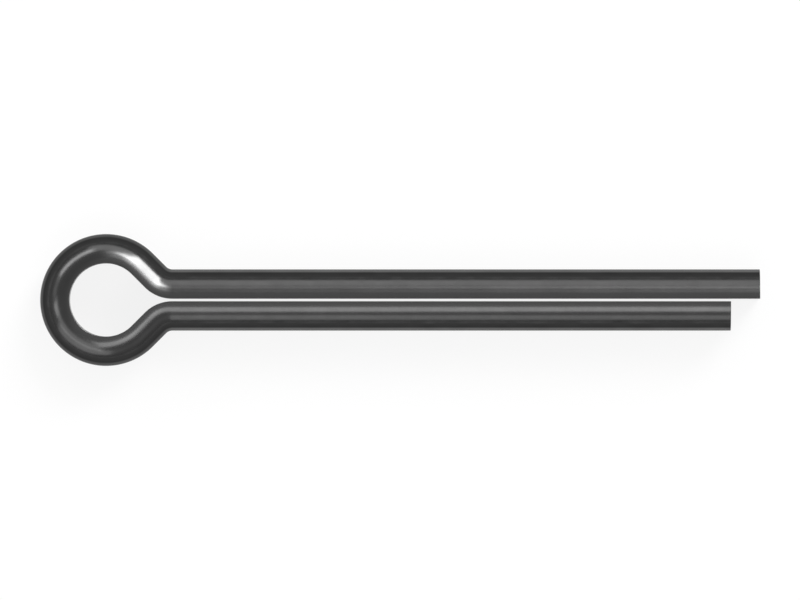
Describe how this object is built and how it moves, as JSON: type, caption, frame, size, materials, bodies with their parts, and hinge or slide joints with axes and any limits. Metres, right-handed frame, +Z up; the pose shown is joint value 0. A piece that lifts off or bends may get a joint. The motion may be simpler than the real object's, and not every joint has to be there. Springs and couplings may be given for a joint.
{
  "type": "cotter pin",
  "caption": "Cotter pin of half-round wire with a round eye, tapered shoulders and two straight legs lying flat to flat, one a little longer for prising them apart.",
  "frame": {"origin": "on the shank's axis under the eye, where the outer lines of the shoulders would meet those of the legs, midway through the wire's width", "axes": "+X along the legs from the eye to the tips, +Y across the legs towards the long one, +Z up through the eye's hole as the pin lies on its side"},
  "size_m": [0.0358, 0.0066, 0.003],
  "materials": {
    "dark_steel": "smooth drawn steel wire with a dark oxide, satin"
  },
  "bodies": {
    "root": {"cotter_pin": "dark_steel"}
  },
  "joints": []
}
